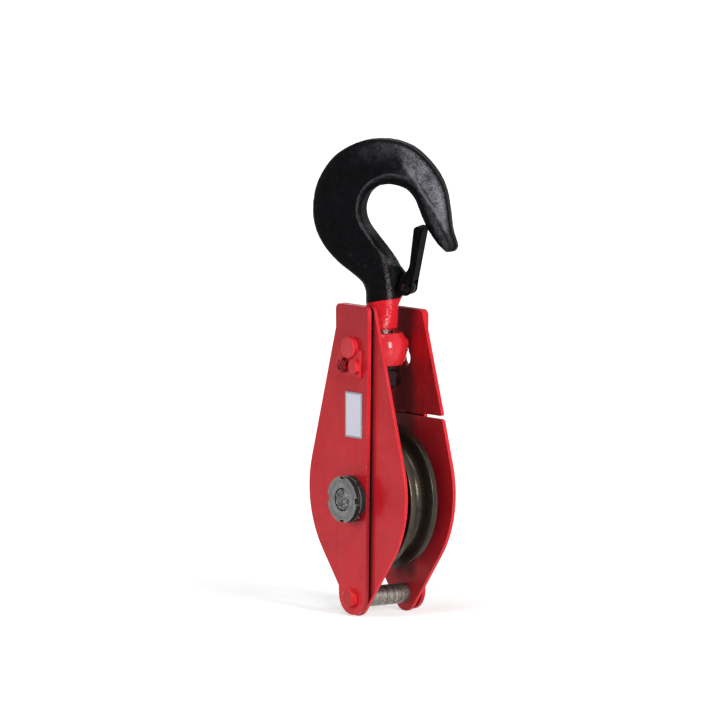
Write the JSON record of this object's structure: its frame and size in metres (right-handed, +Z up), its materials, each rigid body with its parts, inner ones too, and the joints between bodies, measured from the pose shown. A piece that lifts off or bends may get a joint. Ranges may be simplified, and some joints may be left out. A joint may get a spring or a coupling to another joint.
{
  "type": "pulley block",
  "caption": "Steel pulley block with a swivel hook and spring latch, a grooved sheave between two strapped cheek plates, and a rear gate that lifts and swings out.",
  "frame": {"origin": "inside of the hook's bowl, on the swivel axis, where the block hangs", "axes": "+Z up along the hook's shank; the sheave's axle lies along Y, the front strap with the keeper at -Y; +X to the right seen from the front"},
  "size_m": [0.1498, 0.0997, 0.459],
  "materials": {
    "red_paint": "satin red paint over steel plate",
    "black_forging": "black paint over a rough forging",
    "worn_steel": "bare rough steel",
    "dark_oxide": "dark oxide steel",
    "brown_steel": "turned steel with a brown protective film",
    "bush_bronze": "turned bronze",
    "name_plate": "matt plate, left bare"
  },
  "bodies": {
    "hook": {"hook": "black_forging", "hook_nut": "dark_oxide", "hook_nut_pin": "worn_steel", "thrust_washer": "worn_steel", "latch_pin": "worn_steel", "latch_spring": "worn_steel"},
    "latch": {"latch": "black_forging"},
    "frame": {"crosshead": "red_paint", "front_cheek": "red_paint", "front_strap": "red_paint", "keeper_plate": "red_paint", "keeper_bolt_left": "red_paint", "keeper_bolt_right": "red_paint", "front_trunnion_spacer": "dark_oxide", "front_axle_spacer": "dark_oxide", "front_bolt_spacer": "dark_oxide", "rear_axle_spacer": "dark_oxide", "rear_bolt_spacer": "dark_oxide", "rear_cheek": "red_paint", "rear_strap": "red_paint", "hinge_ear": "red_paint", "axle": "dark_oxide", "axle_nut_inner": "dark_oxide", "axle_nut_outer": "dark_oxide", "side_washer_front": "worn_steel", "side_washer_rear": "worn_steel", "spacer_tube": "worn_steel", "bottom_bolt": "red_paint", "bottom_nut": "red_paint", "name_plate": "name_plate"},
    "sheave": {"sheave": "brown_steel", "sheave_bush": "bush_bronze"},
    "gate_pin": {"hinge_pin": "dark_oxide"},
    "gate": {"gate_cheek": "red_paint", "gate_strap": "red_paint", "gate_spacer_upper": "red_paint", "gate_spacer_lower": "red_paint", "gate_lug_left": "red_paint", "gate_lug_right": "red_paint"}
  },
  "joints": [
    {"name": "hook_swivel", "type": "hinge", "parent": "hook", "child": "frame", "pos_m": [0, 0, -0.154], "axis": [0, 0, 1], "continuous": true},
    {"name": "sheave_spin", "type": "hinge", "parent": "frame", "child": "sheave", "pos_m": [0, 0, -0.3], "axis": [0, 1, 0], "continuous": true},
    {"name": "latch_pivot", "type": "hinge", "parent": "hook", "child": "latch", "pos_m": [0.02037, 0.01535, -0.0976], "axis": [0.6018, -0.7986, 0], "range_deg": [0, 24], "stiffness_Nm_per_rad": 0.06, "springref_deg": -40.11, "deforming": ["latch_spring"]},
    {"name": "gate_lift", "type": "slide", "parent": "frame", "child": "gate_pin", "axis": [0, 0, 1], "range_m": [0, 0.014]},
    {"name": "gate_swing", "type": "hinge", "parent": "gate_pin", "child": "gate", "pos_m": [0, 0.0444, -0.2355], "axis": [-1, 0, 0], "range_deg": [0, 110]}
  ]
}
